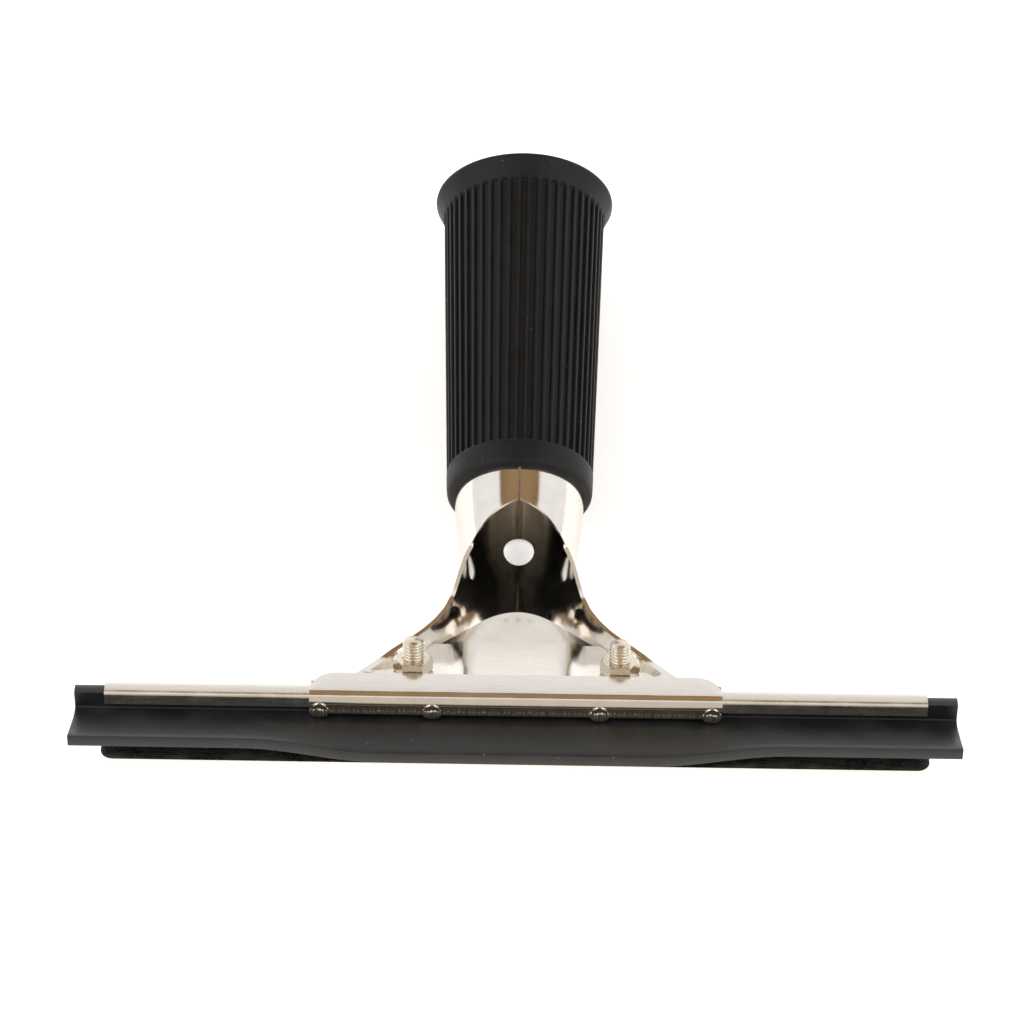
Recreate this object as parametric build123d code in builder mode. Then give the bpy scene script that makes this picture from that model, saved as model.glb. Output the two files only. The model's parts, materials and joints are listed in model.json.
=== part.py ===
"""Window squeegee with a pressed stainless handle, rubber grip and screw-clamped blade.

Millimetres. The tool lies on its back: +X runs along the blade, +Y from the blade towards
the grip's end, +Z up. The origin is on the table, under the middle of the whole tool.

Three working frames carry the design:
  HANDLE      the handle's axis, from the grip's collar; y towards the grip's end, z to the seam
  ramp()      the handle's sloping floor; forward from where it leaves the tube, height above it
  blade()     the blade's plane; forward from the back of the channel, height above the jaw
"""
import os
from math import atan2, cos, degrees, radians, sin, sqrt

from build123d import *

# ---------------------------------------------------------------- driving dimensions
SHEET = 0.9                 # handle sheet
TUBE_R = 15.3               # handle tube, outside
TUBE_END = 82.0             # tube's open end, from the grip's collar
SEAM_GAP = 0.4              # butt seam along the top of the tube
SEAM_OPENS = -8.35          # where the seam ends and the mouth starts
MOUTH_DEPTH = 6.7           # how far below the seam the mouth is cut from above
HANG_HOLE_R = 3.65
HANG_HOLE_Y = -6.3

GRIP_LENGTH = 85.8
COLLAR_LENGTH = 6.6         # smooth band at the blade end
COLLAR_R = 17.7
COLLAR_ROUND = 1.2
RIB_TOP_R = 19.8            # ribbed sleeve where the flare starts
FLARE_LENGTH = 6.7
FLARE_R = 21.9
RIM_WIDTH = 1.1
RIM_ROUND = 0.5
RIBS = 50
GROOVE_WIDTH = 1.45
GROOVE_DEPTH = 0.8

RAMP_START = -22.7          # inner floor leaves the back wall here
RAMP_ANGLE = 34.0
BLADE_ANGLE = 20.0
WALL_TAKEN = 3.0            # the trough starts this far in front of the collar

PLATE = 1.0                 # clamp plate sheet
PLATE_REAR = 18.9           # rear edge, along the ramp
PLATE_STEP_AT = 36.4        # foot of the step, along the ramp
PLATE_STEP = 1.4
TONGUE_REAR_HALF = 19.4     # half width of the tongue between the wings
TONGUE_FRONT_HALF = 31.0
JAW_HALF = 47.4
JAW_REAR_CORNER = 6.0
RIDGE_AHEAD = -0.66         # step's crest, measured from the back of the channel
HOOK_BEND_R = 2.4
HOOK_EDGE_H = 3.6           # lower edge of the hook above the jaw
PRONG_H = 2.9
PRONG_R = 1.9
PRONG_PROUD = 0.45
PRONG_TAB = 3.9             # height of the tab that ends in the prong
PRONG_X = (19.25, 45.1)
BOSS_HALF = 15.6            # pressed boss on the tongue: foot, ridge and inner flat
BOSS_RIDGE_HALF = 12.4
BOSS_FLAT_HALF = 8.6
BOSS_RIDGE_H = 1.15
BOSS_FLAT_H = 0.6

SCREW_R = 2.4
SCREW_X = 23.95
SCREW_BEHIND_STEP = 4.45
SCREW_ABOVE_NUT = 4.7
HEAD_R = 3.6
HEAD_H = 2.6
HEAD_ROOM = 0.5             # scallop in the pocket's wall, around the head
RECESS_HALF = 2.2           # cross recess
RECESS_WIDTH = 1.1
RECESS_DEPTH = 1.5
NUT_FLATS = 8.0
NUT_H = 3.2
NUT_BEVEL = 0.35

CHANNEL_SHEET = 0.8
CHANNEL_LENGTH = 189.2
CHANNEL_H = 7.6
CHANNEL_TOP = 6.3           # fold of the upper lip, from the back
LIP_H = 3.45
LEG_LENGTH = 21.0
LEG_CORNER_R = 3.0

RUBBER_LENGTH = 203.2
RUBBER_DEPTH = 21.2         # free edge, from the back of the channel
SPINE_FRONT = 5.3
NECK_AT = 7.5
NECK_THICK = 1.3
EDGE_THICK = 3.1
EDGE_SPRING = 3.8           # how far the free ends of the blade stand up
PRESSED_HALF = 31.0         # half length held flat by the jaw
SPRUNG_FROM = 63.0

JAW_SHEET_FRONT = 8.5       # front edge of the handle's lower jaw
POCKET_BACK = 0.7           # gap behind the channel's round back

FIT = 0.1                   # faces that slide or are clamped together
LOOSE = 0.5                 # room between the hook and the channel lip
SCREW_HOLE_PLAY = 0.35
THREAD_PLAY = 0.05

# ---------------------------------------------------------------- frames
X_AXIS = Vector(1, 0, 0)
rib_end = GRIP_LENGTH - FLARE_LENGTH
rib_rise = (RIB_TOP_R - COLLAR_R) / (rib_end - COLLAR_LENGTH)


def rib_radius(y):
    """Radius of the sleeve at y, over the crests of its ribs."""
    return COLLAR_R + (y - COLLAR_LENGTH) * rib_rise


# at rest the tool lies on the handle's belly and the collar's front edge
rest_tilt = degrees(atan2(rib_radius(COLLAR_ROUND) - TUBE_R, COLLAR_ROUND - RAMP_START))
floor_height = TUBE_R * cos(radians(rest_tilt)) - RAMP_START * sin(radians(rest_tilt))


def turned(angle):
    """Forward and upward directions (y, z) of a plane that rises towards the blade."""
    a = radians(angle)
    return (-cos(a), sin(a)), (sin(a), cos(a))


ramp_forward, ramp_up = turned(RAMP_ANGLE)
blade_forward, blade_up = turned(BLADE_ANGLE)
floor_z = SHEET - TUBE_R    # inner face of the back wall


def ramp(along, up):
    """Point (y, z) of the handle's frame, given along the ramp and above its inner face."""
    return (RAMP_START + along * ramp_forward[0] + up * ramp_up[0],
            floor_z + along * ramp_forward[1] + up * ramp_up[1])


jaw_face = CHANNEL_H + FIT + PLATE
ridge = ramp(PLATE_STEP_AT, FIT + PLATE + PLATE_STEP)
blade_zero = tuple(ridge[i] - RIDGE_AHEAD * blade_forward[i] - jaw_face * blade_up[i] for i in (0, 1))


def blade(along, up):
    """Point (y, z) of the handle's frame, given in the blade's plane."""
    return (blade_zero[0] + along * blade_forward[0] + up * blade_up[0],
            blade_zero[1] + along * blade_forward[1] + up * blade_up[1])


def lies_at(y, z):
    """Distance along the table of a handle point, once the tool lies on its back."""
    return y * cos(radians(rest_tilt)) - z * sin(radians(rest_tilt))


front_edge = lies_at(*blade(LEG_LENGTH, 0))
rear_edge = lies_at(GRIP_LENGTH, RIM_ROUND - FLARE_R)
origin = Vector(0, -(front_edge + rear_edge) / 2, floor_height)
handle_up = Vector(0, -sin(radians(rest_tilt)), cos(radians(rest_tilt)))
HANDLE = Plane(origin=origin, x_dir=X_AXIS, z_dir=handle_up)


def place(y, z, x=0.0):
    return HANDLE.from_local_coords(Vector(x, y, z))


def direction(y, z):
    return HANDLE.y_dir * y + HANDLE.z_dir * z


def station(y):
    """Cross-section of the handle at y, looking along it; its normal points at the blade."""
    return Plane(origin=place(y, 0), x_dir=X_AXIS, z_dir=-HANDLE.y_dir)


SIDE = Plane(origin=origin, x_dir=HANDLE.y_dir, z_dir=X_AXIS)
RAMP_SIDE = Plane(origin=place(*ramp(0, 0)), x_dir=direction(*ramp_forward), z_dir=-X_AXIS)
BLADE_SIDE = Plane(origin=place(*blade_zero), x_dir=direction(*blade_forward), z_dir=-X_AXIS)
RAMP_TOP = Plane(origin=place(*ramp(0, 0)), x_dir=X_AXIS, z_dir=direction(*ramp_up))
BLADE_TOP = Plane(origin=place(*blade_zero), x_dir=X_AXIS, z_dir=direction(*blade_up))
HOOK_FRONT = Plane(origin=place(*blade_zero), x_dir=X_AXIS, z_dir=direction(*blade_forward))
RAMP_CROSS = Plane(origin=place(*ramp(PLATE_REAR, 0)), x_dir=X_AXIS, z_dir=direction(*ramp_forward))

os.makedirs("parts", exist_ok=True)

# ---------------------------------------------------------------- handle shell
# The wall is an ellipse that narrows behind the hole and then spreads into two wings.
# Each station: y, half width, half height, height of the centre.
WALL_STATIONS = [
    (-WALL_TAKEN, TUBE_R, TUBE_R, 0.0),
    (-10.0, 14.8, TUBE_R, 0.0),
    (-17.0, 14.1, TUBE_R, 0.0),
    (-23.0, 14.6, TUBE_R, 0.1),
    (-30.0, 17.2, 16.5, 1.5),
    (-37.0, 23.5, 20.0, 6.0),
    (-44.0, 33.0, 16.0, 9.5),
    (-54.0, 48.6, 12.0, 14.0),
]
WALL_STEPS = 17


def wall_at(y):
    """Half width, half height and centre of the wall at y, on a smooth curve between stations."""
    last = len(WALL_STATIONS) - 1
    i = min(sum(y < station_y for station_y, *_ in WALL_STATIONS[1:]), last - 1)
    here, there = WALL_STATIONS[i], WALL_STATIONS[i + 1]
    before, after = WALL_STATIONS[max(i - 1, 0)], WALL_STATIONS[min(i + 2, last)]
    span = there[0] - here[0]
    t = (y - here[0]) / span
    shape = []
    for k in (1, 2, 3):
        leaves = span * (there[k] - before[k]) / (there[0] - before[0])
        arrives = span * (after[k] - here[k]) / (after[0] - here[0])
        shape.append(
            (2 * t**3 - 3 * t**2 + 1) * here[k] + (t**3 - 2 * t**2 + t) * leaves
            + (3 * t**2 - 2 * t**3) * there[k] + (t**3 - t**2) * arrives
        )
    return shape


def wall_form(inset):
    """The solid inside the wall's outer face, or inside its inner face with inset = SHEET."""
    with BuildPart() as form:
        for k in range(WALL_STEPS + 1):
            y = -WALL_TAKEN + (WALL_STATIONS[-1][0] + WALL_TAKEN) * k / WALL_STEPS
            half_width, half_height, centre = wall_at(y)
            spread = wall_at(y - 0.5)[0] - wall_at(y + 0.5)[0]
            across = half_width - inset * sqrt(1 + spread**2)
            tall = half_height - inset
            with BuildSketch(station(y)):
                with BuildLine():
                    for start in (90, 270):
                        if k:
                            EllipticalCenterArc(
                                (0, centre), across, tall, start_angle=start, arc_size=180
                            )
                        else:
                            CenterArc((0, 0), tall, start, 180)
                make_face()
        loft(ruled=True)
    return form.part


wall_outside = wall_form(0)
wall_inside = wall_form(SHEET)

with BuildPart() as ramp_floor:
    with BuildSketch(RAMP_TOP.offset(-SHEET)):
        Rectangle(JAW_HALF * 3, JAW_HALF * 3)
    extrude(amount=SHEET)
    add(wall_outside, mode=Mode.INTERSECT)

with BuildPart() as handle_shell:
    add(wall_outside)
    add(wall_inside, mode=Mode.SUBTRACT)
    with BuildSketch(RAMP_TOP.offset(-SHEET)):
        Rectangle(JAW_HALF * 3, JAW_HALF * 3)
    extrude(amount=-JAW_HALF, mode=Mode.SUBTRACT)
    add(ramp_floor.part)
    with BuildSketch(station(TUBE_END)):
        Circle(TUBE_R)
        Circle(TUBE_R - SHEET, mode=Mode.SUBTRACT)
    extrude(amount=TUBE_END + WALL_TAKEN)
    # the mouth: a pointed arch cut from above, then the wings' edges cut from the side
    arch = [(0, SEAM_OPENS), (3.2, -9.85), (6.8, -12.3), (11.2, -17.9)]
    with BuildSketch(HANDLE.offset(TUBE_R - MOUTH_DEPTH)):
        with BuildLine():
            Spline(*arch, tangents=[(0.9, -0.44), (0.5, -0.87)])
            Spline(*[(-x, y) for x, y in arch], tangents=[(-0.9, -0.44), (-0.5, -0.87)])
            Polyline(arch[-1], (arch[-1][0], -60), (-arch[-1][0], -60), (-arch[-1][0], arch[-1][1]))
        make_face()
    extrude(amount=2 * MOUTH_DEPTH, mode=Mode.SUBTRACT)
    with BuildSketch(SIDE):
        with BuildLine():
            edge = Spline(
                (arch[-1][1], TUBE_R - MOUTH_DEPTH), (-21.8, 4.0),
                (-28.0, 1.1), (-35.0, 1.2), (-42.0, 3.0), (-55.0, 7.6),
                tangents=[(-0.64, -0.77), (-1, 0.42)],
            )
            Polyline(edge @ 1, (-60, 60), (arch[-1][1], 60), edge @ 0)
        make_face()
    extrude(amount=60, both=True, mode=Mode.SUBTRACT)
    # everything in front of the pocket's back wall goes
    with BuildSketch(BLADE_SIDE):
        with Locations((-POCKET_BACK, -20)):
            Rectangle(60, 60, align=(Align.MIN, Align.MIN))
    extrude(amount=60, both=True, mode=Mode.SUBTRACT)
    # the pocket and lower jaw: down behind the channel and forward under it
    with BuildSketch(BLADE_SIDE) as pocket:
        pocket_back = -POCKET_BACK - SHEET
        wall_top = BLADE_SIDE.to_local_coords(place(*ramp(PLATE_STEP_AT, 0))).Y
        with BuildLine():
            Polyline(
                (pocket_back, wall_top - SHEET), (pocket_back, -FIT - SHEET),
                (JAW_SHEET_FRONT, -FIT - SHEET), (JAW_SHEET_FRONT, -FIT),
                (-POCKET_BACK, -FIT), (-POCKET_BACK, wall_top - 0.3), close=True,
            )
        make_face()
    extrude(amount=JAW_HALF, both=True)
    # hanging hole, seam and screw holes
    with BuildSketch(HANDLE.offset(-TUBE_R - 5)):
        with Locations((0, HANG_HOLE_Y)):
            Circle(HANG_HOLE_R)
    extrude(amount=TUBE_R, mode=Mode.SUBTRACT)
    with BuildSketch(HANDLE.offset(TUBE_R - 3)):
        with Locations((0, SEAM_OPENS - 1)):
            Rectangle(SEAM_GAP, TUBE_END + 20, align=(Align.CENTER, Align.MIN))
    extrude(amount=6, mode=Mode.SUBTRACT)
    screw_along = PLATE_STEP_AT - SCREW_BEHIND_STEP
    with BuildSketch(RAMP_TOP.offset(-3)):
        with Locations((-SCREW_X, -screw_along), (SCREW_X, -screw_along)):
            Circle(SCREW_R + SCREW_HOLE_PLAY)
    extrude(amount=6, mode=Mode.SUBTRACT)
    # scallops in the pocket's wall leave room for the heads and a screwdriver
    with BuildSketch(RAMP_TOP.offset(-SHEET)):
        with Locations((-SCREW_X, -screw_along), (SCREW_X, -screw_along)):
            Circle(HEAD_R + HEAD_ROOM)
    extrude(amount=-2 * CHANNEL_H, mode=Mode.SUBTRACT)
handle_shell.part.label = "handle_shell"
export_step(handle_shell.part, "parts/handle_shell.step")

# ---------------------------------------------------------------- rubber grip
def radial_plane(angle):
    """Half plane through the handle's axis: x along the axis, y outwards at the angle."""
    a = radians(angle)
    outwards = X_AXIS * cos(a) + HANDLE.z_dir * sin(a)
    return Plane(origin=origin, x_dir=HANDLE.y_dir, z_dir=HANDLE.y_dir.cross(outwards))


with BuildPart() as rubber_grip:
    with BuildSketch(radial_plane(90)) as grip_profile:
        with BuildLine():
            Polyline(
                (0, TUBE_R), (0, rib_radius(0)), (rib_end, RIB_TOP_R),
                (GRIP_LENGTH - RIM_WIDTH, FLARE_R), (GRIP_LENGTH, FLARE_R), (GRIP_LENGTH, TUBE_R),
                close=True,
            )
        make_face()
        fillet(grip_profile.vertices().sort_by(Axis.X)[-2:].sort_by(Axis.Y)[-1:], RIM_ROUND)
        fillet(grip_profile.vertices().sort_by(Axis.X)[:2].sort_by(Axis.Y)[-1:], COLLAR_ROUND)
    revolve(axis=Axis(origin, HANDLE.y_dir))
    with BuildSketch(*[radial_plane(360.0 * (k + 0.5) / RIBS) for k in range(RIBS)]):
        with BuildLine():
            Polyline(
                (COLLAR_LENGTH, rib_radius(COLLAR_LENGTH) - GROOVE_DEPTH),
                (rib_end, RIB_TOP_R - GROOVE_DEPTH), (rib_end, RIB_TOP_R + 2),
                (COLLAR_LENGTH, rib_radius(COLLAR_LENGTH) + 2), close=True,
            )
        make_face()
    extrude(amount=GROOVE_WIDTH / 2, both=True, mode=Mode.SUBTRACT)
rubber_grip.part.label = "rubber_grip"
export_step(rubber_grip.part, "parts/rubber_grip.step")

# ---------------------------------------------------------------- clamp plate
hook_face = CHANNEL_TOP + LOOSE + PLATE

with BuildPart() as clamp_plate:
    # land over the channel and the hook in front of it
    with BuildSketch(BLADE_SIDE):
        with BuildLine():
            FilletPolyline(
                (RIDGE_AHEAD, jaw_face), (hook_face, jaw_face), (hook_face, HOOK_EDGE_H),
                radius=HOOK_BEND_R,
            )
            Line((hook_face, HOOK_EDGE_H), (hook_face - PLATE, HOOK_EDGE_H))
            FilletPolyline(
                (hook_face - PLATE, HOOK_EDGE_H), (hook_face - PLATE, jaw_face - PLATE),
                (RIDGE_AHEAD, jaw_face - PLATE), radius=HOOK_BEND_R - PLATE,
            )
            Line((RIDGE_AHEAD, jaw_face - PLATE), (RIDGE_AHEAD, jaw_face))
        make_face()
    extrude(amount=JAW_HALF, both=True)
    upright = clamp_plate.edges().filter_by(Axis(BLADE_TOP.origin, BLADE_TOP.z_dir))
    fillet(upright.sort_by(Axis(BLADE_SIDE.origin, BLADE_SIDE.x_dir))[:2], JAW_REAR_CORNER)
    # tongue between the wings, and the step up to the land
    with BuildSketch(RAMP_TOP.offset(FIT)):
        with BuildLine():
            Polyline(
                (-TONGUE_REAR_HALF, -PLATE_REAR), (TONGUE_REAR_HALF, -PLATE_REAR),
                (TONGUE_FRONT_HALF, -PLATE_STEP_AT), (-TONGUE_FRONT_HALF, -PLATE_STEP_AT),
                close=True,
            )
        make_face()
    extrude(amount=PLATE)
    with BuildSketch(RAMP_SIDE):
        step_front = PLATE_STEP_AT + PLATE
        with BuildLine():
            Polyline(
                (PLATE_STEP_AT - 0.02, FIT), (step_front, FIT + 0.35),
                (step_front, FIT + PLATE + PLATE_STEP - 0.5),
                (PLATE_STEP_AT, FIT + PLATE + PLATE_STEP), (PLATE_STEP_AT - 0.02, FIT + PLATE),
                close=True,
            )
        make_face()
    extrude(amount=TONGUE_FRONT_HALF, both=True)
    # pressed boss: the flat is cut out and the raised sheet put in
    with BuildSketch(RAMP_SIDE):
        with Locations((PLATE_REAR, FIT)):
            Rectangle(PLATE_STEP_AT - PLATE_REAR, PLATE, align=(Align.MIN, Align.MIN))
    extrude(amount=BOSS_HALF - 0.2, both=True, mode=Mode.SUBTRACT)
    with BuildSketch(RAMP_CROSS):
        crest = [
            (-BOSS_HALF, 0), (-BOSS_RIDGE_HALF, BOSS_RIDGE_H), (-BOSS_FLAT_HALF, BOSS_FLAT_H),
            (BOSS_FLAT_HALF, BOSS_FLAT_H), (BOSS_RIDGE_HALF, BOSS_RIDGE_H), (BOSS_HALF, 0),
        ]
        with BuildLine():
            Polyline(
                *[(x, FIT + PLATE + h) for x, h in crest],
                *[(x, FIT + h) for x, h in reversed(crest)], close=True,
            )
        make_face()
    extrude(amount=PLATE_STEP_AT - PLATE_REAR)
    # rounded prongs under the hook
    with BuildSketch(HOOK_FRONT.offset(hook_face - PLATE)):
        with Locations([(x * side, PRONG_H + PRONG_TAB / 2) for x in PRONG_X for side in (-1, 1)]):
            SlotOverall(PRONG_TAB, 2 * PRONG_R, rotation=90)
    extrude(amount=PLATE + PRONG_PROUD)
    with BuildSketch(RAMP_TOP.offset(-3)):
        with Locations((-SCREW_X, -screw_along), (SCREW_X, -screw_along)):
            Circle(SCREW_R + SCREW_HOLE_PLAY)
    extrude(amount=8, mode=Mode.SUBTRACT)
clamp_plate.part.label = "clamp_plate"
export_step(clamp_plate.part, "parts/clamp_plate.step")

# ---------------------------------------------------------------- screws and captive nuts
nut_seat = FIT + PLATE + FIT / 2
screw_end = nut_seat + NUT_H + SCREW_ABOVE_NUT
head_seat = -SHEET - FIT / 2

for name, x in (("left", -SCREW_X), ("right", SCREW_X)):
    centre = (x, -screw_along)
    with BuildPart() as screw:
        with BuildSketch(RAMP_TOP.offset(head_seat)):
            with Locations(centre):
                Circle(SCREW_R)
        extrude(amount=screw_end - head_seat)
        chamfer(screw.edges().sort_by(Axis(RAMP_TOP.origin, RAMP_TOP.z_dir))[-1:], 0.5)
        with BuildSketch(RAMP_TOP.offset(head_seat)):
            with Locations(centre):
                Circle(HEAD_R)
        extrude(amount=-HEAD_H)
        fillet(screw.edges().sort_by(Axis(RAMP_TOP.origin, RAMP_TOP.z_dir))[:1], 1.2)
        with BuildSketch(RAMP_TOP.offset(head_seat - HEAD_H)):
            with Locations(centre):
                Rectangle(2 * RECESS_HALF, RECESS_WIDTH)
                Rectangle(RECESS_WIDTH, 2 * RECESS_HALF)
        extrude(amount=RECESS_DEPTH, mode=Mode.SUBTRACT)
    screw.part.label = f"{name}_clamp_screw"
    export_step(screw.part, f"parts/{name}_clamp_screw.step")

    with BuildPart() as nut:
        with BuildSketch(RAMP_TOP.offset(nut_seat)):
            with Locations(centre):
                RegularPolygon(NUT_FLATS / 2, 6, major_radius=False)
                Circle(SCREW_R + THREAD_PLAY, mode=Mode.SUBTRACT)
        extrude(amount=NUT_H)
        # rounded-off corners, as turned from hexagon bar
        with BuildSketch(RAMP_SIDE.offset(-x)):
            half = NUT_FLATS / sqrt(3)
            with BuildLine():
                Polyline(
                    (screw_along, nut_seat), (screw_along + NUT_FLATS / 2, nut_seat),
                    (screw_along + half, nut_seat + NUT_BEVEL),
                    (screw_along + half, nut_seat + NUT_H - NUT_BEVEL),
                    (screw_along + NUT_FLATS / 2, nut_seat + NUT_H),
                    (screw_along, nut_seat + NUT_H), close=True,
                )
            make_face()
        revolve(axis=Axis(place(*ramp(screw_along, 0), x), RAMP_TOP.z_dir), mode=Mode.INTERSECT)
    nut.part.label = f"{name}_hex_nut"
    export_step(nut.part, f"parts/{name}_hex_nut.step")

# ---------------------------------------------------------------- blade channel
back_r = CHANNEL_H / 2
with BuildPart() as blade_channel:
    with BuildSketch(BLADE_SIDE):
        with BuildLine():
            Line((LEG_LENGTH, 0), (back_r, 0))
            ThreePointArc((back_r, 0), (0, back_r), (back_r, CHANNEL_H))
            FilletPolyline((back_r, CHANNEL_H), (CHANNEL_TOP, CHANNEL_H),
                           (CHANNEL_TOP, CHANNEL_H - LIP_H), radius=1.0)
            Line((CHANNEL_TOP, CHANNEL_H - LIP_H), (CHANNEL_TOP - CHANNEL_SHEET, CHANNEL_H - LIP_H))
            Line((CHANNEL_TOP - CHANNEL_SHEET, CHANNEL_H - LIP_H),
                 (CHANNEL_TOP - CHANNEL_SHEET, CHANNEL_H - CHANNEL_SHEET))
            Line((CHANNEL_TOP - CHANNEL_SHEET, CHANNEL_H - CHANNEL_SHEET),
                 (back_r, CHANNEL_H - CHANNEL_SHEET))
            ThreePointArc((back_r, CHANNEL_H - CHANNEL_SHEET), (CHANNEL_SHEET, back_r),
                          (back_r, CHANNEL_SHEET))
            Line((back_r, CHANNEL_SHEET), (LEG_LENGTH, CHANNEL_SHEET))
            Line((LEG_LENGTH, CHANNEL_SHEET), (LEG_LENGTH, 0))
        make_face()
    extrude(amount=CHANNEL_LENGTH / 2, both=True)
    upright = blade_channel.edges().filter_by(Axis(BLADE_TOP.origin, BLADE_TOP.z_dir))
    fillet(upright.sort_by(Axis(BLADE_SIDE.origin, BLADE_SIDE.x_dir))[-2:], LEG_CORNER_R)
blade_channel.part.label = "blade_channel"
export_step(blade_channel.part, "parts/blade_channel.step")

# ---------------------------------------------------------------- rubber blade
web_foot = CHANNEL_SHEET + FIT
spine_r = back_r - web_foot


def web_section(spring):
    """The flexible web, from the neck to the free edge, with its edge raised by spring."""
    Polyline(
        (NECK_AT, web_foot), (RUBBER_DEPTH, web_foot + spring),
        (RUBBER_DEPTH, web_foot + spring + EDGE_THICK), (NECK_AT, web_foot + NECK_THICK),
        close=True,
    )


with BuildPart() as rubber_blade:
    for x, spring in (
        (-RUBBER_LENGTH / 2, EDGE_SPRING), (-SPRUNG_FROM, EDGE_SPRING), (-PRESSED_HALF, 0),
        (PRESSED_HALF, 0), (SPRUNG_FROM, EDGE_SPRING), (RUBBER_LENGTH / 2, EDGE_SPRING),
    ):
        with BuildSketch(BLADE_SIDE.offset(-x)):
            with BuildLine():
                web_section(spring)
            make_face()
    loft(ruled=True)
    with BuildSketch(BLADE_SIDE):
        with BuildLine():
            Line((SPINE_FRONT, web_foot), (back_r, web_foot))
            ThreePointArc((back_r, web_foot), (web_foot, back_r), (back_r, CHANNEL_H - web_foot))
            Line((back_r, CHANNEL_H - web_foot), (SPINE_FRONT, CHANNEL_H - web_foot))
            Line((SPINE_FRONT, CHANNEL_H - web_foot), (SPINE_FRONT, web_foot))
        make_face()
        with Locations((SPINE_FRONT, web_foot)):
            Rectangle(NECK_AT - SPINE_FRONT, NECK_THICK, align=(Align.MIN, Align.MIN))
    extrude(amount=RUBBER_LENGTH / 2, both=True)
rubber_blade.part.label = "rubber_blade"
export_step(rubber_blade.part, "parts/rubber_blade.step")
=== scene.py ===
"""Window squeegee: rubber, threads, pressed jaw and finishes, built around the fixed metal frame."""

import json
from math import cos, pi, radians, sin, tau

import bmesh
import bpy
from bpy.props import FloatProperty, FloatVectorProperty, IntProperty, PointerProperty
from mathutils import Matrix, Vector


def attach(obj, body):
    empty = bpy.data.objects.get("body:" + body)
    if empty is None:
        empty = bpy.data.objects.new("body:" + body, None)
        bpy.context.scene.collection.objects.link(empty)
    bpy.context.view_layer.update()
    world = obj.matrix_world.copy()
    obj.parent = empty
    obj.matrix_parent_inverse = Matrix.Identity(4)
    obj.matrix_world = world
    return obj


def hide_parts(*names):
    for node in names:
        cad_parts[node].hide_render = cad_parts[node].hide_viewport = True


bl_info = {
    "name": "Window Squeegee",
    "version": (1, 0, 0),
    "blender": (4, 5, 0),
    "location": "View3D > Sidebar > Squeegee",
    "description": "Builds the looks of a window squeegee around its fixed metal frame",
    "category": "Object",
}

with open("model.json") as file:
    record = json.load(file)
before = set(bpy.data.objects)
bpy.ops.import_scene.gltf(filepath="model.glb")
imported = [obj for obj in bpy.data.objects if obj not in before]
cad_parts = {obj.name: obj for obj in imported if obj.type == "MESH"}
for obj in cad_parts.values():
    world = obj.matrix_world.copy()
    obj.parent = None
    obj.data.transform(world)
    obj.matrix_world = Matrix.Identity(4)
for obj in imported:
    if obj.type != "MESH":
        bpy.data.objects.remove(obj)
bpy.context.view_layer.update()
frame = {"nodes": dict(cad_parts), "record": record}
MM = 0.001


def linear(hex_colour):
    """Linear RGB of an sRGB hex colour."""
    parts = [int(hex_colour[i:i + 2], 16) / 255 for i in (1, 3, 5)]
    return [p / 12.92 if p <= 0.04045 else ((p + 0.055) / 1.055) ** 2.4 for p in parts]


# ---------------------------------------------------------------- where things are
MOUNTS = {m["name"]: m for m in frame["record"]["mounts"]}
SOCKET_AT = 40.0 * MM           # the pole socket's middle, from the grip's collar
RAMP_START, RAMP_FLOOR, RAMP_ANGLE = -22.7, -14.4, 34.0
BLADE_ZERO, BLADE_ANGLE = (-55.0748, 0.0776), 20.0

X = Vector((1, 0, 0))
ALONG = Vector(MOUNTS["pole_socket"]["axis"]).normalized()
ABOVE = X.cross(ALONG)
COLLAR = Vector(MOUNTS["pole_socket"]["pos_m"]) - SOCKET_AT * ALONG


def handle(x, y, z):
    """Point of the row frame, from the handle's own millimetres."""
    return COLLAR + MM * (x * X + y * ALONG + z * ABOVE)


def sloped(angle, zero, forward, up):
    """(y, z) in the handle's millimetres, from a plane that rises towards the blade."""
    a = radians(angle)
    return (zero[0] - forward * cos(a) + up * sin(a), zero[1] + forward * sin(a) + up * cos(a))


def ramp(x, forward, up):
    return handle(x, *sloped(RAMP_ANGLE, (RAMP_START, RAMP_FLOOR), forward, up))


def blade(x, forward, up):
    return handle(x, *sloped(BLADE_ANGLE, BLADE_ZERO, forward, up))


def ease(t):
    t = min(max(t, 0.0), 1.0)
    return t * t * (3 - 2 * t)


# ---------------------------------------------------------------- mesh helpers
def new_piece(name, points, faces, body, material, replaced=(), sharp=40):
    """A closed mesh piece that rides on a body and stands for the named frame nodes."""
    mesh = bpy.data.meshes.new(name)
    mesh.from_pydata([tuple(p) for p in points], [], faces)
    piece = bpy.data.objects.new(name, mesh)
    bpy.context.scene.collection.objects.link(piece)
    edit = bmesh.new()
    edit.from_mesh(mesh)
    bmesh.ops.recalc_face_normals(edit, faces=edit.faces)
    edit.to_mesh(mesh)
    edit.free()
    smooth_by_angle(mesh, sharp)
    mesh.materials.append(material)
    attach(piece, body)
    if replaced:
        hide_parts(*replaced)
    return piece


def smooth_by_angle(mesh, angle):
    mesh.shade_smooth()
    mesh.set_sharp_from_angle(angle=radians(angle))


def smooth_copy(source, name, body, material):
    """A piece in the shape of a frame node, with its neighbouring faces joined at their shared
    points, so that smooth shading runs across them; it stands for the node."""
    edit = bmesh.new()
    edit.from_mesh(source.data)
    edit.transform(source.matrix_world)
    bmesh.ops.remove_doubles(edit, verts=edit.verts, dist=0.001 * MM)
    points = [tuple(v.co) for v in edit.verts]
    faces = [tuple(v.index for v in f.verts) for f in edit.faces]
    edit.free()
    new_piece(name, points, faces, body, material, [source.name], sharp=30)


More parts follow.
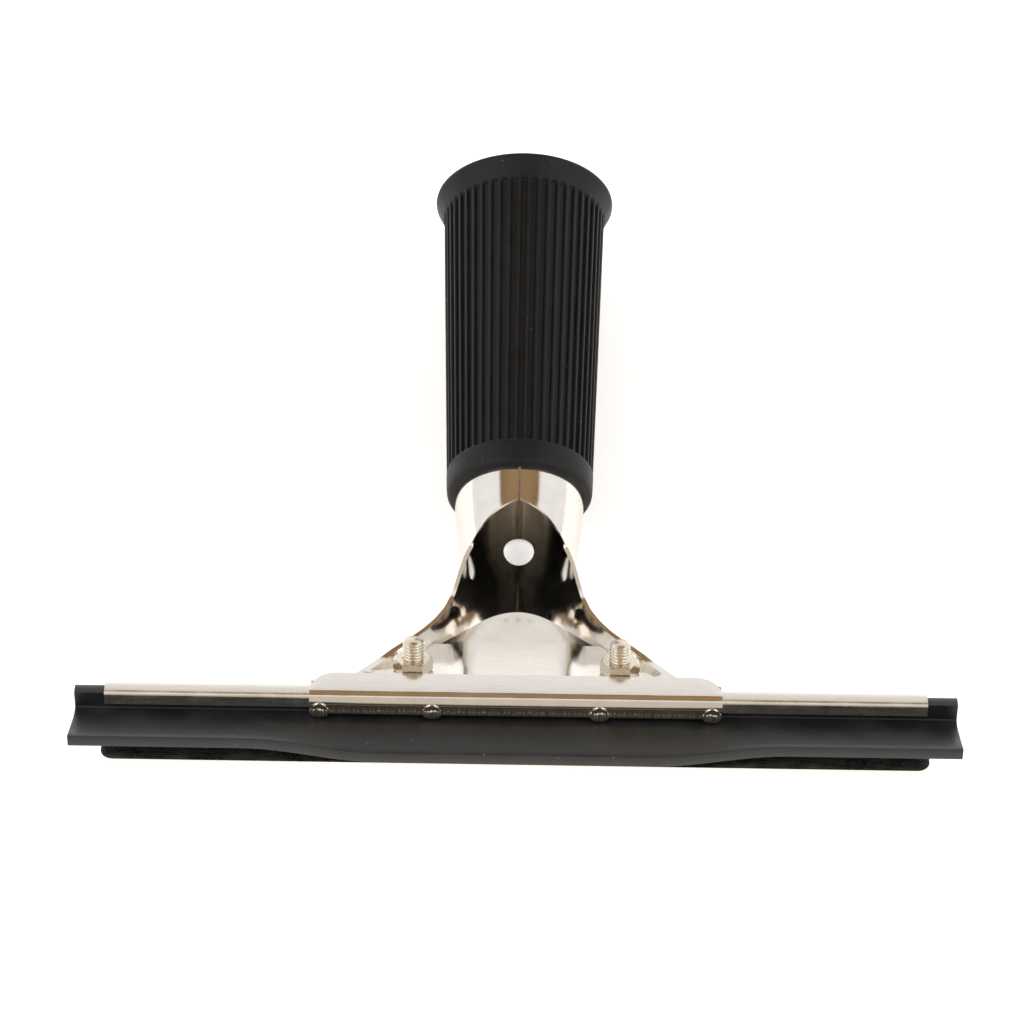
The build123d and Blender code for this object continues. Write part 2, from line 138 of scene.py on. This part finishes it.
def tube_faces(rows, columns, closed=False):
    """Quads between rows of a ring grid; columns wrap round, rows too when closed."""
    faces = []
    for r in range(rows if closed else rows - 1):
        for c in range(columns):
            a, b = r * columns, (r + 1) % rows * columns
            d = (c + 1) % columns
            faces.append((a + c, a + d, b + d, b + c))
    return faces


# ---------------------------------------------------------------- material helpers
def add(tree, kind, settings=(), **links):
    """Adds a node with its settings; a link is input_name=socket, with _ for a space."""
    node = tree.nodes.new("ShaderNode" + kind)
    for name, value in dict(settings).items():
        if isinstance(name, int) or name in node.inputs:
            node.inputs[name].default_value = value
        else:
            setattr(node, name, value)
    for name, socket in links.items():
        key = int(name[1:]) if name[0] == "i" and name[1:].isdigit() else name.replace("_", " ")
        tree.links.new(node.inputs[key], socket)
    return node


def new_material(name, base, roughness, metallic=0.0, **shader):
    """A material with one Principled shader; returns it, its tree and the shader."""
    material = bpy.data.materials.new(name)
    material.use_nodes = True
    tree = material.node_tree
    principled = tree.nodes["Principled BSDF"]
    principled.inputs["Base Color"].default_value = (*base, 1)
    principled.inputs["Roughness"].default_value = roughness
    principled.inputs["Metallic"].default_value = metallic
    for key, value in shader.items():
        principled.inputs[key.replace("_", " ")].default_value = value
    return material, tree, principled


def ramp_stops(node, stops):
    """Colour stops of a Color Ramp node."""
    elements = node.color_ramp.elements
    while len(elements) > 1:
        elements.remove(elements[-1])
    elements[0].position, elements[0].color = stops[0][0], (*stops[0][1], 1)
    for position, colour in stops[1:]:
        elements.new(position).color = (*colour, 1)
    return node


def stainless(name, base, rough, grain, grain_mm, grain_depth):
    """Rolled and polished stainless sheet. The eye sees a bright, slightly warm mirror whose
    reflections are drawn out a little along the rolling direction, with faint handling marks."""
    material, tree, shader = new_material(name, base, rough, 1.0)
    where = add(tree, "TexCoord").outputs["Object"]
    # rolling lines: far longer than they are wide; drawn as wide as they need to be to show
    stretched = add(tree, "Mapping", {"Scale": grain}, Vector=where).outputs["Vector"]
    lines = add(tree, "TexNoise", {"Scale": 1 / (grain_mm * MM), "Detail": 4.0, "Roughness": 0.6},
                Vector=stretched).outputs["Fac"]
    # handling marks: soft patches about 6 mm across
    marks = add(tree, "TexNoise", {"Scale": 1 / (6 * MM), "Detail": 5.0, "Roughness": 0.65},
                Vector=where).outputs["Fac"]
    mixed = add(tree, "Math", {"operation": "ADD"}, i0=lines, i1=marks).outputs[0]
    spread = add(tree, "MapRange", {"From Min": 0.7, "From Max": 1.3, "To Min": rough * 0.65,
                                    "To Max": rough * 1.6}, Value=mixed).outputs["Result"]
    tree.links.new(shader.inputs["Roughness"], spread)
    tint = ramp_stops(add(tree, "ValToRGB", Fac=marks),
                      [(0.25, [0.90 * c for c in base]), (0.6, base)]).outputs["Color"]
    tree.links.new(shader.inputs["Base Color"], tint)
    bump = add(tree, "Bump", {"Strength": 0.35, "Distance": grain_depth * MM}, Height=lines)
    tree.links.new(shader.inputs["Normal"], bump.outputs["Normal"])
    return material


def nickel_plate(name, base, rough):
    """Nickel plate over machined steel: warm, bright, with turning marks under the plate."""
    material, tree, shader = new_material(name, base, rough, 1.0)
    where = add(tree, "TexCoord").outputs["Object"]
    pits = add(tree, "TexNoise", {"Scale": 1 / (0.5 * MM), "Detail": 6.0, "Roughness": 0.7},
               Vector=where).outputs["Fac"]
    spread = add(tree, "MapRange", {"From Min": 0.3, "From Max": 0.7, "To Min": rough * 0.6,
                                    "To Max": rough * 1.7}, Value=pits).outputs["Result"]
    tree.links.new(shader.inputs["Roughness"], spread)
    tint = ramp_stops(add(tree, "ValToRGB", Fac=pits),
                      [(0.3, [0.72 * c for c in base]), (0.55, base)]).outputs["Color"]
    tree.links.new(shader.inputs["Base Color"], tint)
    bump = add(tree, "Bump", {"Strength": 0.5, "Distance": 0.03 * MM}, Height=pits)
    tree.links.new(shader.inputs["Normal"], bump.outputs["Normal"])
    return material


def moulded_rubber(name, base, dust, rough, shine, speck_mm, speck_share, mottle_mm):
    """Black rubber from a mould. The eye sees a soft grey sheen on a deep black, slightly
    mottled, with pale dust specks that the rubber holds."""
    material, tree, shader = new_material(name, base, rough, Specular_IOR_Level=shine, IOR=1.52)
    where = add(tree, "TexCoord").outputs["Object"]
    mottle = add(tree, "TexNoise", {"Scale": 1 / (mottle_mm * MM), "Detail": 6.0,
                                    "Roughness": 0.62}, Vector=where).outputs["Fac"]
    skin = ramp_stops(add(tree, "ValToRGB", Fac=mottle), [
        (0.3, [0.7 * c for c in base]), (0.5, base), (0.75, [1.7 * c for c in base]),
    ]).outputs["Color"]
    # dust: one dot in a few of the cells of a fine random pattern
    cells = add(tree, "TexVoronoi", {"Scale": 1 / (speck_mm * MM), "Randomness": 1.0},
                Vector=where)
    close = add(tree, "MapRange", {"From Min": 0.05, "From Max": 0.12, "To Min": 1.0,
                                   "To Max": 0.0}, Value=cells.outputs["Distance"])
    chosen = add(tree, "SeparateColor", Color=cells.outputs["Color"]).outputs[0]
    few = add(tree, "Math", {"operation": "LESS_THAN", 1: speck_share}, i0=chosen).outputs[0]
    specks = add(tree, "Math", {"operation": "MULTIPLY"}, i0=close.outputs["Result"],
                 i1=few).outputs[0]
    dusted = add(tree, "Mix", {"data_type": "RGBA"}, Factor=specks)
    colour_a, colour_b = [s for s in dusted.inputs if s.type == "RGBA"]
    tree.links.new(colour_a, skin)
    colour_b.default_value = (*dust, 1)
    tree.links.new(shader.inputs["Base Color"],
                   [s for s in dusted.outputs if s.type == "RGBA"][0])
    spread = add(tree, "MapRange", {"From Min": 0.3, "From Max": 0.7, "To Min": rough * 0.85,
                                    "To Max": rough * 1.2}, Value=mottle).outputs["Result"]
    tree.links.new(shader.inputs["Roughness"], spread)
    fine = add(tree, "TexNoise", {"Scale": 1 / (0.35 * MM), "Detail": 3.0}, Vector=where)
    bump = add(tree, "Bump", {"Strength": 0.35, "Distance": 0.04 * MM},
               Height=fine.outputs["Fac"])
    tree.links.new(shader.inputs["Normal"], bump.outputs["Normal"])
    return material


# ---------------------------------------------------------------- what a user may change
class SqueegeeSizes(bpy.types.PropertyGroup):
    """Sizes of the pieces made here, in metres."""

    ribs: IntProperty(name="Ribs", description="Lengthwise ribs round the grip", default=50)
    rib_depth: FloatProperty(name="Rib depth", description="Depth of the grooves between ribs",
                             default=0.8 * MM, unit="LENGTH", precision=5)
    thread_pitch: FloatProperty(name="Thread pitch", description="Pitch of the clamp screws",
                                default=0.8 * MM, unit="LENGTH", precision=5)
    thread_depth: FloatProperty(name="Thread depth", description="Depth of the screw thread",
                                default=0.42 * MM, unit="LENGTH", precision=5)
    edge_spring: FloatProperty(name="Edge spring", unit="LENGTH", precision=5, default=3.8 * MM,
                               description="How far the free ends of the rubber stand up")


class SqueegeeColours(bpy.types.PropertyGroup):
    """Base colours of the finishes."""

    steel: FloatVectorProperty(name="Stainless steel", description="Polished stainless sheet",
                               subtype="COLOR", size=3, default=linear("#E6E1DA"))
    nickel: FloatVectorProperty(name="Nickel plate", description="Screws and nuts",
                                subtype="COLOR", size=3, default=linear("#E2D9CA"))
    grip: FloatVectorProperty(name="Grip rubber", description="Ribbed rubber sleeve",
                              subtype="COLOR", size=3, default=linear("#141414"))
    blade: FloatVectorProperty(name="Blade rubber", description="Rubber blade",
                               subtype="COLOR", size=3, default=linear("#1E1F20"))
    dust: FloatVectorProperty(name="Dust", description="Dust specks on the rubber",
                              subtype="COLOR", size=3, default=linear("#8E8B86"))
    floor: FloatVectorProperty(name="Floor", description="The plain pale floor",
                               subtype="COLOR", size=3, default=linear("#FFFFFF"))


# ---------------------------------------------------------------- grip
GRIP_END, GRIP_BORE = 85.8, 15.32
RIBS_FROM, RIBS_TO = 7.3, 79.1              # where the grooves have their full depth
CREST_FROM, CREST_TO = 17.55, 19.8          # radius over the ribs' crests, there
RIB_STEPS = 25
RIM_FROM, RIM_FOOT_R = 79.95, 20.0          # foot of the flared rim
RIM_LENGTH, RIM_RISE, RIM_STEPS = 4.6, 1.86, 8
# outline of the collar: y, radius at the rib crests, share of the groove depth
COLLAR_OUTLINE = [
    (0.0, GRIP_BORE, 0), (0.0, 16.0, 0), (0.12, 16.55, 0), (0.45, 17.0, 0), (0.95, 17.25, 0),
    (1.6, 17.38, 0), (3.0, 17.47, 0), (5.0, 17.54, 0), (6.0, 17.57, 0), (6.45, 17.56, 0),
    (6.6, 17.52, 0.05), (6.75, 17.5, 0.5), (6.95, 17.5, 0.95), (RIBS_FROM, CREST_FROM, 1),
]
# how the ribs run out under the rim, in the same terms
RIBS_OUT = [(RIBS_TO, CREST_TO, 1), (79.5, 19.86, 0.95), (79.75, 19.93, 0.5),
            (RIM_FROM, RIM_FOOT_R, 0.05)]
# lip of the rim and the start of the bore, measured back from the grip's end
RIM_LIP = [(-0.85, 21.9), (-0.5, 21.82), (-0.2, 21.6), (-0.03, 21.25), (0, 20.8), (0, 18.0),
           (0, 15.9), (-0.15, 15.45), (-0.5, GRIP_BORE), (-25.0, GRIP_BORE), (-65.0, GRIP_BORE)]
# one rib: share of its pitch, share of its height
CREST = [(0, 1), (0.10, 0.985), (0.15, 0.90), (0.185, 0.62), (0.215, 0.22), (0.25, 0.03),
         (0.36, 0), (0.5, 0), (0.64, 0), (0.75, 0.03), (0.785, 0.22), (0.815, 0.62),
         (0.85, 0.90), (0.90, 0.985)]


class SQUEEGEE_OT_grip(bpy.types.Operator):
    """Ribbed rubber sleeve with a smooth collar and a flared end"""

    bl_idname = "squeegee.grip"
    bl_label = "Rubber grip"

    def execute(self, context):
        sizes, colours = context.scene.squeegee_sizes, context.scene.squeegee_colours
        outline = list(COLLAR_OUTLINE)
        for k in range(1, RIB_STEPS):
            t = k / RIB_STEPS
            outline.append((RIBS_FROM + (RIBS_TO - RIBS_FROM) * t,
                            CREST_FROM + (CREST_TO - CREST_FROM) * t, 1))
        outline += RIBS_OUT
        for k in range(1, RIM_STEPS + 1):
            t = k / RIM_STEPS
            outline.append((RIM_FROM + RIM_LENGTH * t, RIM_FOOT_R + RIM_RISE * t ** 1.25, 0))
        outline += [(GRIP_END + back, radius, 0) for back, radius in RIM_LIP]
        depth = sizes.rib_depth / MM
        points = []
        for y, radius, share in outline:
            for rib in range(sizes.ribs):
                for phase, height in CREST:
                    a = tau * (rib + phase) / sizes.ribs
                    r = radius - share * depth * (1 - height)
                    points.append(handle(r * cos(a), y, r * sin(a)))
        faces = tube_faces(len(outline), sizes.ribs * len(CREST), closed=True)
        rubber = moulded_rubber("moulded_grip_rubber", colours.grip, colours.dust, 0.5, 0.2,
                                1.1, 0.05, 5.0)
        new_piece("grip_sleeve", points, faces, "handle", rubber,
                  ["rubber_grip"], sharp=50)
        return {"FINISHED"}


# ---------------------------------------------------------------- rubber blade
BLADE_HALF = 101.6
PRESSED_TO, SPRUNG_FROM = 31.0, 62.0
NECK_AT, EDGE_AT = 7.5, 21.2
# outline of the rubber: forward, up; the round spine first, then the web
RUBBER_OUTLINE = [
    (5.3, 6.7), (4.6, 6.7), (3.8, 6.68), (2.69, 6.48), (1.75, 5.86), (1.12, 4.92), (0.92, 3.8),
    (1.12, 2.68), (1.75, 1.75), (2.69, 1.13), (3.8, 0.92), (5.3, 0.92), (7.5, 0.92), (10.0, 0.92),
    (13.0, 0.92), (16.0, 0.92), (19.0, 0.92), (20.9, 0.92), (21.12, 0.97), (21.2, 1.15),
    (21.2, 2.4), (21.2, 3.75), (21.12, 3.93), (20.9, 4.0), (19.0, 3.72), (16.0, 3.32),
    (13.0, 2.92), (10.0, 2.53), (7.5, 2.2), (6.0, 2.2), (5.5, 2.25), (5.3, 2.45), (5.3, 4.5),
]


class SQUEEGEE_OT_blade(bpy.types.Operator):
    """Rubber blade, held flat in the middle by the jaw and sprung up towards both ends"""

    bl_idname = "squeegee.blade"
    bl_label = "Rubber blade"

    def execute(self, context):
        sizes, colours = context.scene.squeegee_sizes, context.scene.squeegee_colours
        rise = sizes.edge_spring / MM
        half = [0, 8, 16, 24, 30] + [30 + 1.6 * k for k in range(1, 22)]
        half += [70, 80, 88, 95, 99, BLADE_HALF - 0.12, BLADE_HALF]
        stations = [-x for x in reversed(half[1:])] + half
        count = len(RUBBER_OUTLINE)
        points = []
        for x in stations:
            spring = rise * ease((abs(x) - PRESSED_TO) / (SPRUNG_FROM - PRESSED_TO))
            for forward, up in RUBBER_OUTLINE:
                bend = max(forward - NECK_AT, 0) / (EDGE_AT - NECK_AT)
                points.append(blade(x, forward - 0.02 * spring * bend, up + spring * bend ** 1.15))
        faces = tube_faces(len(stations), count)
        faces += [tuple(range(count)), tuple(len(points) - 1 - k for k in range(count))]
        rubber = moulded_rubber("smooth_blade_rubber", colours.blade, colours.dust, 0.42, 0.4,
                                1.4, 0.03, 9.0)
        new_piece("blade_rubber", points, faces, "rubber", rubber,
                  ["rubber_blade"], sharp=35)
        return {"FINISHED"}


# ---------------------------------------------------------------- clamp screws
SCREW_X, SCREW_AT, SCREW_R = 23.95, 31.95, 2.4
HEAD_SEAT, SCREW_END = -0.95, 9.05
HEAD_OUTLINE = [(0.0, -3.55), (1.4, -3.55), (2.4, -3.5), (3.0, -3.33), (3.4, -3.0), (3.58, -2.5),
                (3.6, -2.0), (3.6, -1.15), (3.5, -0.98), (3.3, HEAD_SEAT), (1.9, HEAD_SEAT)]


class SQUEEGEE_OT_screws(bpy.types.Operator):
    """Clamp screws with a cut thread and a cross-recessed head"""

    bl_idname = "squeegee.screws"
    bl_label = "Clamp screws"

    def execute(self, context):
        sizes, colours = context.scene.squeegee_sizes, context.scene.squeegee_colours
        plate = nickel_plate("nickel_plated_steel", colours.nickel, 0.24)
        pitch, depth = sizes.thread_pitch / MM, sizes.thread_depth / MM
        round_steps, rings_a_turn = 40, 10
        rings = int((SCREW_END - HEAD_SEAT - 0.2) / pitch * rings_a_turn)
        for side, x in (("left", -SCREW_X), ("right", SCREW_X)):
            points = []
            for radius, up in HEAD_OUTLINE[1:-1]:
                for c in range(round_steps):
                    a = tau * c / round_steps
                    points.append(ramp(x + radius * cos(a), SCREW_AT + radius * sin(a), up))
            for ring in range(rings + 1):
                up = HEAD_SEAT + 0.1 + (SCREW_END - HEAD_SEAT - 0.1) * ring / rings
                for c in range(round_steps):
                    a = tau * c / round_steps
                    turn = (up / pitch - c / round_steps) % 1
                    tooth = ease((1 - abs(2 * turn - 1)) * 1.25)
                    radius = SCREW_R - depth * (1 - tooth)
                    radius = min(radius, 1.75 + max(SCREW_END - up, 0) * 1.3)
                    points.append(ramp(x + radius * cos(a), SCREW_AT + radius * sin(a), up))
            rows = len(points) // round_steps
            faces = tube_faces(rows, round_steps)
            faces.append(tuple(range(round_steps)))
            faces.append(tuple(len(points) - 1 - k for k in range(round_steps)))
            screw = new_piece(f"{side}_screw", points, faces, f"{side}_screw",
                              plate, [f"{side}_clamp_screw"], sharp=55)
            cross_recess(screw, x)
        return {"FINISHED"}


def cross_recess(screw, x):
    """Cuts the tapered cross recess into the screw's head."""
    cutter_points, cutter_faces = [], []
    for turn in (0, pi / 2):
        base = len(cutter_points)
        for up, long, wide in ((-3.8, 2.25, 0.6), (-1.9, 1.5, 0.4)):
            for u, v in ((-long, -wide), (long, -wide), (long, wide), (-long, wide)):
                cutter_points.append(ramp(x + u * cos(turn) - v * sin(turn),
                                          SCREW_AT + u * sin(turn) + v * cos(turn), up))
        cutter_faces += [tuple(base + i for i in f) for f in (
            (0, 1, 2, 3), (7, 6, 5, 4), (0, 4, 5, 1), (1, 5, 6, 2), (2, 6, 7, 3), (3, 7, 4, 0))]
    mesh = bpy.data.meshes.new("recess")
    mesh.from_pydata([tuple(p) for p in cutter_points], [], cutter_faces)
    edit = bmesh.new()
    edit.from_mesh(mesh)
    bmesh.ops.recalc_face_normals(edit, faces=edit.faces)
    edit.to_mesh(mesh)
    edit.free()
    cutter = bpy.data.objects.new("recess", mesh)
    bpy.context.scene.collection.objects.link(cutter)
    cut = screw.modifiers.new("recess", "BOOLEAN")
    cut.operation, cut.object, cut.solver, cut.use_self = "DIFFERENCE", cutter, "EXACT", True
    bpy.context.view_layer.update()
    graph = bpy.context.evaluated_depsgraph_get()
    made = bpy.data.meshes.new_from_object(screw.evaluated_get(graph))
    screw.modifiers.clear()
    screw.data = made
    bpy.data.objects.remove(cutter)
    smooth_by_angle(made, 55)


# ---------------------------------------------------------------- sheet metal and nuts
class SQUEEGEE_OT_metal(bpy.types.Operator):
    """Finishes of the handle, the channel, the clamp plate and the captive nuts"""

    bl_idname = "squeegee.metal"
    bl_label = "Sheet metal and nuts"

    def execute(self, context):
        colours = context.scene.squeegee_colours
        steel = colours.steel
        handle_steel = stainless("polished_stainless_handle", steel, 0.10, (1, 0.15, 0.6), 0.5, 0.01)
        jaw_steel = stainless("polished_stainless_jaw", steel, 0.13, (0.06, 1, 1), 0.4, 0.012)
        channel_steel = stainless("rolled_stainless_channel", steel, 0.28, (0.04, 1, 1), 0.4, 0.015)
        nickel = nickel_plate("nickel_plated_nut", colours.nickel, 0.2)
        for node, name, body, slot, material in (
            ("handle_shell", "polished_handle", "handle", "handle_steel", handle_steel),
            ("clamp_plate", "polished_jaw", "jaw", "jaw_steel", jaw_steel),
            ("blade_channel", "rolled_channel", "channel", "channel_steel", channel_steel),
        ):
            smooth_copy(frame["nodes"][node], name, body, material)
        for node in ("left_hex_nut", "right_hex_nut"):
            mesh = frame["nodes"][node].data
            mesh.materials.clear()
            mesh.materials.append(nickel)
            smooth_by_angle(mesh, 30)
        return {"FINISHED"}


# ---------------------------------------------------------------- coined edge of the jaw
JAW_HALF, HOOK_FRONT, HOOK_LOW, HOOK_FLAT_TOP = 47.4, 7.8, 3.6, 6.35
PRONGS, PRONG_HALF = (-45.1, -19.25, 19.25, 45.1), 2.1
TOOTH_PITCH, TOOTH_DEPTH, BAND_TOP = 0.93, 0.2, 5.0
COINING_STEPS, SUNK = 640, 0.5


class SQUEEGEE_OT_coining(bpy.types.Operator):
    """Coined band along the jaw's lower edge: fine upright teeth, and four rounded prongs"""

    bl_idname = "squeegee.coining"
    bl_label = "Coined edge"

    def execute(self, context):
        colours = context.scene.squeegee_colours
        steel = stainless("coined_stainless_edge", linear("#D2C6B4"), 0.2, (1, 1, 0.2), 0.3, 0.02)
        points = []
        for k in range(COINING_STEPS + 1):
            x = (2 * k / COINING_STEPS - 1) * (JAW_HALF - 0.02)
            near = max(1 - (abs(x - p) / PRONG_HALF) ** 2 for p in PRONGS)
            prong = max(near, 0) ** 0.5
            # the teeth's pitch wanders along the edge
            tooth = 0.5 + 0.5 * sin(tau * x / TOOTH_PITCH + 1.6 * sin(1.3 * x) + 0.9 * sin(3.1 * x))
            low = HOOK_LOW - 0.02 - 0.95 * prong
            high = BAND_TOP + 0.12 * sin(2.3 * x) + 0.75 * prong
            proud = 0.05 + TOOTH_DEPTH * tooth + 0.5 * prong
            inside = HOOK_FRONT - SUNK
            outline = [(inside, low + 0.1), (HOOK_FRONT + 0.3 * proud, low),
                       (HOOK_FRONT + 0.75 * proud, low + 0.12),
                       (HOOK_FRONT + proud, low + 0.4), (HOOK_FRONT + proud, high - 0.6),
                       (HOOK_FRONT + 0.6 * proud, high - 0.25), (HOOK_FRONT + 0.03, high),
                       (HOOK_FRONT + 0.03, HOOK_FLAT_TOP), (inside, HOOK_FLAT_TOP)]
            points += [blade(x, forward, up) for forward, up in outline]
        corners = len(outline)
        faces = tube_faces(COINING_STEPS + 1, corners)
        faces += [tuple(range(corners)), tuple(len(points) - 1 - k for k in range(corners))]
        new_piece("coined_edge", points, faces, "jaw", steel, sharp=32)
        return {"FINISHED"}


# ---------------------------------------------------------------- floor, light and camera
VIEW_ANGLE = 60.0               # between the line of sight and the handle's axis
VIEW_DISTANCE, VIEW_RISE, VIEW_ASIDE = 955.0, 2.98, -1.75
VIEW_TURN, VIEW_ROLL = 0.6, 0.35
LENS, SENSOR = 140.625, 36.0
FLOOR_HALF = 3.0
WHITE = (1.0, 1.0, 1.0)


class SQUEEGEE_OT_stage(bpy.types.Operator):
    """Plain pale floor, soft studio lights with two brown cards, and the camera"""

    bl_idname = "squeegee.stage"
    bl_label = "Stage"

    def execute(self, context):
        scene, colours = context.scene, context.scene.squeegee_colours
        scene.view_settings.view_transform = "Standard"
        self.floor(scene, colours)
        self.world(scene)
        self.lights(scene)
        self.camera(scene)
        return {"FINISHED"}

    def floor(self, scene, colours):
        mesh = bpy.data.meshes.new("floor")
        corners = [(x * FLOOR_HALF, y * FLOOR_HALF, 0) for x, y in ((-1, -1), (1, -1), (1, 1), (-1, 1))]
        mesh.from_pydata(corners, [], [(0, 1, 2, 3)])
        plane = bpy.data.objects.new("floor", mesh)
        scene.collection.objects.link(plane)
        # a sweep of white paper, lit from below as well as from above
        material, _, shader = new_material("pale_floor", colours.floor, 0.9, Emission_Strength=0.4)
        shader.inputs["Emission Color"].default_value = (*colours.floor, 1)
        mesh.materials.append(material)

    def world(self, scene):
        world = bpy.data.worlds.new("studio")
        scene.world = world
        world.use_nodes = True
        tree = world.node_tree
        backdrop = tree.nodes["Background"]
        where = add(tree, "TexCoord").outputs["Generated"]
        # a white room with two brown cards: one above the grip's side, one behind the viewer
        cards = []
        for toward, stops in (
            ((0.0, 0.42, 0.91), [(0.84, WHITE), (0.875, linear("#8A6C4A")),
                                 (0.97, linear("#A08463"))]),
            ((0.0, -0.82, 0.57), [(0.74, WHITE), (0.84, linear("#D6CBBC"))]),
        ):
            facing = add(tree, "VectorMath", {"operation": "DOT_PRODUCT", 1: toward}, i0=where)
            card = ramp_stops(add(tree, "ValToRGB", Fac=facing.outputs["Value"]), stops)
            cards.append(card.outputs["Color"])
        both = add(tree, "VectorMath", {"operation": "MULTIPLY"}, i0=cards[0], i1=cards[1])
        tree.links.new(backdrop.inputs["Color"], both.outputs["Vector"])
        backdrop.inputs["Strength"].default_value = 1.05

    def lights(self, scene):
        for name, at, size, power in (
            ("key_softbox", (-1.2, -0.2, 1.4), 1.5, 9),
            ("fill_softbox", (1.3, -0.2, 1.3), 1.5, 8),
        ):
            light = bpy.data.lights.new(name, "AREA")
            light.shape, light.size, light.energy = "SQUARE", size, power
            lamp = bpy.data.objects.new(name, light)
            scene.collection.objects.link(lamp)
            lamp.location = at
            lamp.rotation_mode = "QUATERNION"
            lamp.rotation_quaternion = (-Vector(at)).to_track_quat("-Z", "Y")

    def camera(self, scene):
        camera = bpy.data.cameras.new("camera")
        camera.lens, camera.sensor_width = LENS, SENSOR
        camera.clip_start, camera.clip_end = 0.05, 20
        eye = bpy.data.objects.new("camera", camera)
        scene.collection.objects.link(eye)
        a, turn, roll = radians(VIEW_ANGLE), radians(VIEW_TURN), radians(VIEW_ROLL)
        across = cos(turn) * X + sin(turn) * ALONG
        sight = cos(a) * (cos(turn) * ALONG - sin(turn) * X) - sin(a) * ABOVE
        up = across.cross(sight)
        right = cos(roll) * across + sin(roll) * up
        rolled = cos(roll) * up - sin(roll) * across
        at = COLLAR + MM * (VIEW_ASIDE * X - VIEW_DISTANCE * sight - VIEW_RISE * up)
        turned = Matrix((right, rolled, -sight)).transposed().to_4x4()
        eye.matrix_world = Matrix.Translation(at) @ turned
        scene.camera = eye


class SQUEEGEE_PT_panel(bpy.types.Panel):
    """Lists the pieces, and the sizes and colours they are made with"""

    bl_label = "Window Squeegee"
    bl_idname = "SQUEEGEE_PT_panel"
    bl_space_type = "VIEW_3D"
    bl_region_type = "UI"
    bl_category = "Squeegee"

    def draw(self, context):
        for group in (context.scene.squeegee_sizes, context.scene.squeegee_colours):
            for name in group.__annotations__:
                self.layout.prop(group, name)
        for operator in OPERATORS:
            self.layout.operator(operator.bl_idname)


OPERATORS = (SQUEEGEE_OT_metal, SQUEEGEE_OT_grip, SQUEEGEE_OT_blade, SQUEEGEE_OT_screws,
             SQUEEGEE_OT_coining, SQUEEGEE_OT_stage)
CLASSES = (SqueegeeSizes, SqueegeeColours, *OPERATORS, SQUEEGEE_PT_panel)


def register():
    for cls in CLASSES:
        bpy.utils.register_class(cls)
    bpy.types.Scene.squeegee_sizes = PointerProperty(type=SqueegeeSizes)
    bpy.types.Scene.squeegee_colours = PointerProperty(type=SqueegeeColours)


def unregister():
    del bpy.types.Scene.squeegee_colours
    del bpy.types.Scene.squeegee_sizes
    for cls in reversed(CLASSES):
        bpy.utils.unregister_class(cls)


def main():
    register()
    bpy.ops.squeegee.metal()
    bpy.ops.squeegee.grip()
    bpy.ops.squeegee.blade()
    bpy.ops.squeegee.screws()
    bpy.ops.squeegee.coining()
    bpy.ops.squeegee.stage()


if __name__ == "__main__":
    main()
